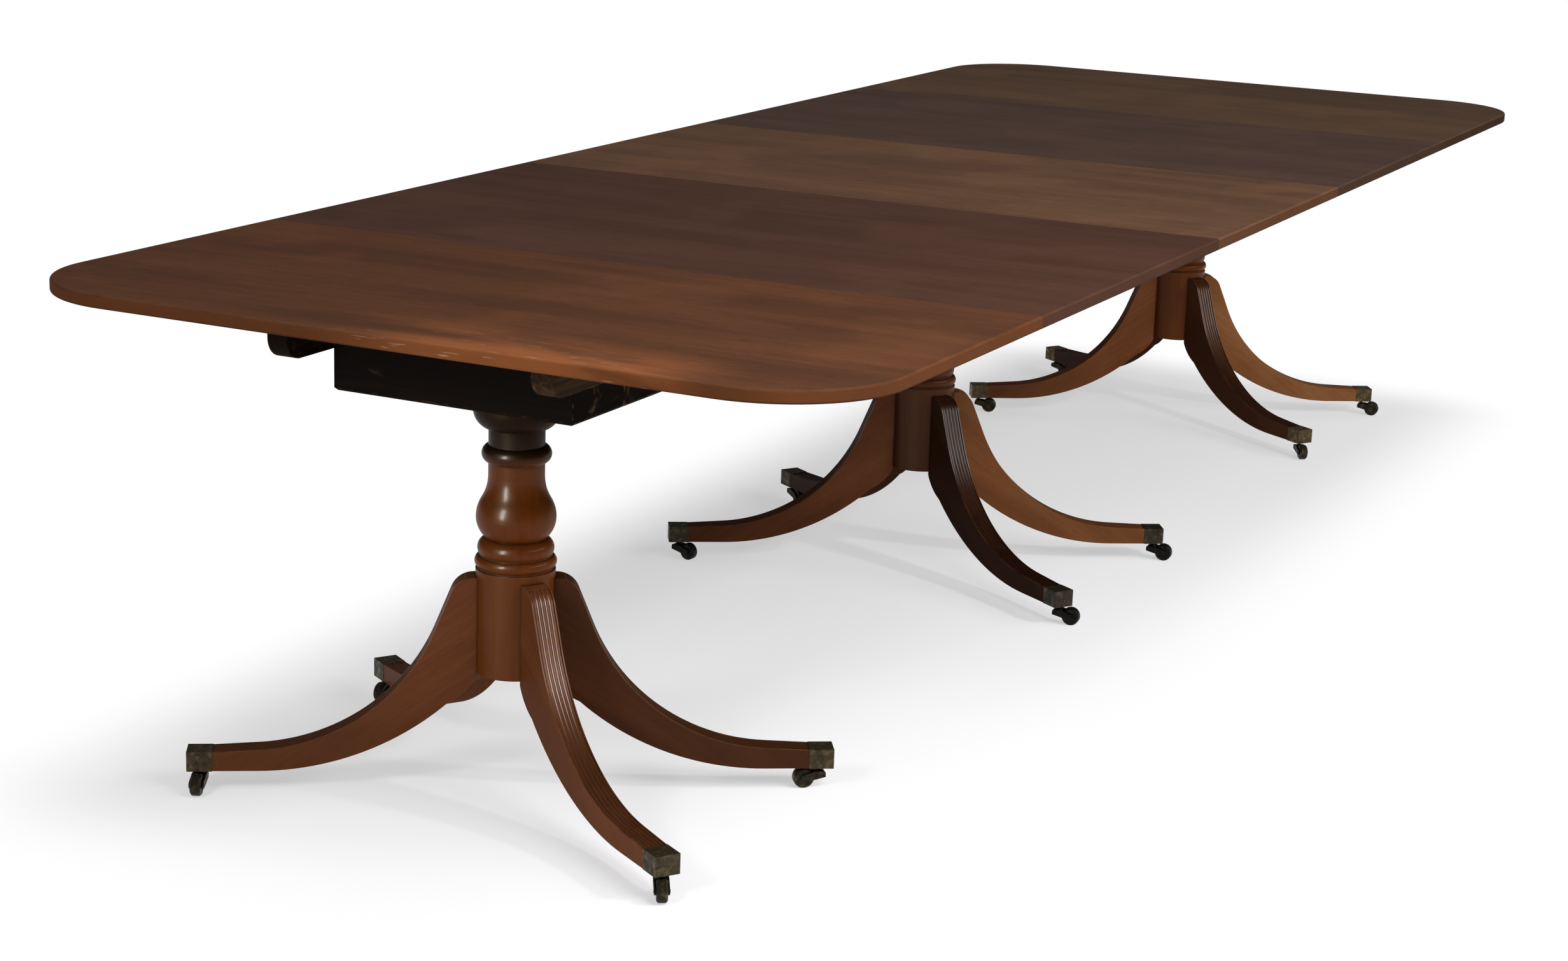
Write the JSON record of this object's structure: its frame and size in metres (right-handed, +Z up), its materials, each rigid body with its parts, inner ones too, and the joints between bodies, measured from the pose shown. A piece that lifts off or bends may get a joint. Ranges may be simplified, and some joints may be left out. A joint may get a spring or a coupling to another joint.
{
  "type": "triple pedestal dining table",
  "caption": "Long dining table with a rounded-end top in sections and loose leaves, on turned columns with sabre legs, brass toe caps and swivel castors.",
  "frame": {"origin": "on the floor under the middle of the top", "axes": "+X along the table to its far end, +Y across it, +Z up"},
  "size_m": [3.5224, 1.306, 0.72],
  "materials": {
    "section_mahogany": "waxed polish",
    "leaf_mahogany": "waxed polish",
    "base_mahogany": "waxed polish",
    "dark_wood": "stained, dull",
    "brass": "tarnished"
  },
  "bodies": {
    "near_back_left_castor": {"near_back_left_horn": "brass"},
    "near_back_left_roller": {"near_back_left_wheel": "brass"},
    "near_front_left_castor": {"near_front_left_horn": "brass"},
    "near_front_left_roller": {"near_front_left_wheel": "brass"},
    "near_front_right_castor": {"near_front_right_horn": "brass"},
    "near_front_right_roller": {"near_front_right_wheel": "brass"},
    "near_back_right_castor": {"near_back_right_horn": "brass"},
    "near_back_right_roller": {"near_back_right_wheel": "brass"},
    "near_unit": {"near_top": "section_mahogany", "near_bearers": "dark_wood", "near_block": "dark_wood", "near_column": "base_mahogany", "near_keepers": "brass", "near_toe_caps": "brass", "near_back_left_leg": "base_mahogany", "near_front_left_leg": "base_mahogany", "near_front_right_leg": "base_mahogany", "near_back_right_leg": "base_mahogany"},
    "middle_back_left_castor": {"middle_back_left_horn": "brass"},
    "middle_back_left_roller": {"middle_back_left_wheel": "brass"},
    "middle_front_left_castor": {"middle_front_left_horn": "brass"},
    "middle_front_left_roller": {"middle_front_left_wheel": "brass"},
    "middle_front_right_castor": {"middle_front_right_horn": "brass"},
    "middle_front_right_roller": {"middle_front_right_wheel": "brass"},
    "middle_back_right_castor": {"middle_back_right_horn": "brass"},
    "middle_back_right_roller": {"middle_back_right_wheel": "brass"},
    "middle_unit": {"middle_top": "section_mahogany", "middle_bearers": "dark_wood", "middle_block": "dark_wood", "middle_column": "base_mahogany", "middle_keepers": "brass", "middle_toe_caps": "brass", "middle_back_left_leg": "base_mahogany", "middle_front_left_leg": "base_mahogany", "middle_front_right_leg": "base_mahogany", "middle_back_right_leg": "base_mahogany"},
    "far_back_left_castor": {"far_back_left_horn": "brass"},
    "far_back_left_roller": {"far_back_left_wheel": "brass"},
    "far_front_left_castor": {"far_front_left_horn": "brass"},
    "far_front_left_roller": {"far_front_left_wheel": "brass"},
    "far_front_right_castor": {"far_front_right_horn": "brass"},
    "far_front_right_roller": {"far_front_right_wheel": "brass"},
    "far_back_right_castor": {"far_back_right_horn": "brass"},
    "far_back_right_roller": {"far_back_right_wheel": "brass"},
    "far_unit": {"far_top": "section_mahogany", "far_bearers": "dark_wood", "far_block": "dark_wood", "far_column": "base_mahogany", "far_keepers": "brass", "far_toe_caps": "brass", "far_back_left_leg": "base_mahogany", "far_front_left_leg": "base_mahogany", "far_front_right_leg": "base_mahogany", "far_back_right_leg": "base_mahogany"},
    "near_leaf_unit": {"near_leaf": "leaf_mahogany", "near_leaf_pegs": "brass", "near_leaf_tongues": "brass"},
    "far_leaf_unit": {"far_leaf": "leaf_mahogany", "far_leaf_pegs": "brass", "far_leaf_tongues": "brass"}
  },
  "joints": [
    {"name": "far_leaf_draw", "type": "slide", "parent": "middle_unit", "child": "far_leaf_unit", "axis": [1, 0, 0], "range_m": [0, 0.045]},
    {"name": "far_section_draw", "type": "slide", "parent": "far_leaf_unit", "child": "far_unit", "axis": [1, 0, 0], "range_m": [0, 0.045]},
    {"name": "near_leaf_draw", "type": "slide", "parent": "middle_unit", "child": "near_leaf_unit", "axis": [-1, 0, 0], "range_m": [0, 0.045]},
    {"name": "near_section_draw", "type": "slide", "parent": "near_leaf_unit", "child": "near_unit", "axis": [-1, 0, 0], "range_m": [0, 0.045]},
    {"name": "near_back_left_swivel", "type": "hinge", "parent": "near_unit", "child": "near_back_left_castor", "pos_m": [-1.68114, 0.37615, 0.034], "axis": [0, 0, 1], "continuous": true},
    {"name": "near_back_left_roll", "type": "hinge", "parent": "near_back_left_castor", "child": "near_back_left_roller", "pos_m": [-1.70379, 0.36559, 0.0155], "axis": [0.4226, -0.9063, 0], "continuous": true},
    {"name": "near_front_left_swivel", "type": "hinge", "parent": "near_unit", "child": "near_front_left_castor", "pos_m": [-1.68114, -0.37615, 0.034], "axis": [0, 0, 1], "continuous": true},
    {"name": "near_front_left_roll", "type": "hinge", "parent": "near_front_left_castor", "child": "near_front_left_roller", "pos_m": [-1.70234, -0.3894, 0.0155], "axis": [0.5299, -0.848, 0], "continuous": true},
    {"name": "near_front_right_swivel", "type": "hinge", "parent": "near_unit", "child": "near_front_right_castor", "pos_m": [-1.20186, -0.37615, 0.034], "axis": [0, 0, 1], "continuous": true},
    {"name": "near_front_right_roll", "type": "hinge", "parent": "near_front_right_castor", "child": "near_front_right_roller", "pos_m": [-1.21793, -0.357, 0.0155], "axis": [-0.766, -0.6428, 0], "continuous": true},
    {"name": "near_back_right_swivel", "type": "hinge", "parent": "near_unit", "child": "near_back_right_castor", "pos_m": [-1.20186, 0.37615, 0.034], "axis": [0, 0, 1], "continuous": true},
    {"name": "near_back_right_roll", "type": "hinge", "parent": "near_back_right_castor", "child": "near_back_right_roller", "pos_m": [-1.22677, 0.37397, 0.0155], "axis": [0.0872, -0.9962, 0], "continuous": true},
    {"name": "middle_back_left_swivel", "type": "hinge", "parent": "middle_unit", "child": "middle_back_left_castor", "pos_m": [-0.25714, 0.37615, 0.034], "axis": [0, 0, 1], "continuous": true},
    {"name": "middle_back_left_roll", "type": "hinge", "parent": "middle_back_left_castor", "child": "middle_back_left_roller", "pos_m": [-0.26061, 0.3514, 0.0155], "axis": [0.9903, -0.1392, 0], "continuous": true},
    {"name": "middle_front_left_swivel", "type": "hinge", "parent": "middle_unit", "child": "middle_front_left_castor", "pos_m": [-0.25714, -0.37615, 0.034], "axis": [0, 0, 1], "continuous": true},
    {"name": "middle_front_left_roll", "type": "hinge", "parent": "middle_front_left_castor", "child": "middle_front_left_roller", "pos_m": [-0.25496, -0.40106, 0.0155], "axis": [0.9962, 0.0872, 0], "continuous": true},
    {"name": "middle_front_right_swivel", "type": "hinge", "parent": "middle_unit", "child": "middle_front_right_castor", "pos_m": [0.22214, -0.37615, 0.034], "axis": [0, 0, 1], "continuous": true},
    {"name": "middle_front_right_roll", "type": "hinge", "parent": "middle_front_right_castor", "child": "middle_front_right_roller", "pos_m": [0.22431, -0.40106, 0.0155], "axis": [0.9962, 0.0872, 0], "continuous": true},
    {"name": "middle_back_right_swivel", "type": "hinge", "parent": "middle_unit", "child": "middle_back_right_castor", "pos_m": [0.22214, 0.37615, 0.034], "axis": [0, 0, 1], "continuous": true},
    {"name": "middle_back_right_roll", "type": "hinge", "parent": "middle_back_right_castor", "child": "middle_back_right_roller", "pos_m": [0.2078, 0.35567, 0.0155], "axis": [0.8192, -0.5736, 0], "continuous": true},
    {"name": "far_back_left_swivel", "type": "hinge", "parent": "far_unit", "child": "far_back_left_castor", "pos_m": [1.16386, 0.37615, 0.034], "axis": [0, 0, 1], "continuous": true},
    {"name": "far_back_left_roll", "type": "hinge", "parent": "far_back_left_castor", "child": "far_back_left_roller", "pos_m": [1.17033, 0.352, 0.0155], "axis": [0.9659, 0.2588, 0], "continuous": true},
    {"name": "far_front_left_swivel", "type": "hinge", "parent": "far_unit", "child": "far_front_left_castor", "pos_m": [1.16386, -0.37615, 0.034], "axis": [0, 0, 1], "continuous": true},
    {"name": "far_front_left_roll", "type": "hinge", "parent": "far_front_left_castor", "child": "far_front_left_roller", "pos_m": [1.14339, -0.39049, 0.0155], "axis": [0.5736, -0.8192, 0], "continuous": true},
    {"name": "far_front_right_swivel", "type": "hinge", "parent": "far_unit", "child": "far_front_right_castor", "pos_m": [1.64314, -0.37615, 0.034], "axis": [0, 0, 1], "continuous": true},
    {"name": "far_front_right_roll", "type": "hinge", "parent": "far_front_right_castor", "child": "far_front_right_roller", "pos_m": [1.64575, -0.40102, 0.0155], "axis": [0.9945, 0.1045, 0], "continuous": true},
    {"name": "far_back_right_swivel", "type": "hinge", "parent": "far_unit", "child": "far_back_right_castor", "pos_m": [1.64314, 0.37615, 0.034], "axis": [0, 0, 1], "continuous": true},
    {"name": "far_back_right_roll", "type": "hinge", "parent": "far_back_right_castor", "child": "far_back_right_roller", "pos_m": [1.63879, 0.35153, 0.0155], "axis": [0.9848, -0.1736, 0], "continuous": true}
  ]
}
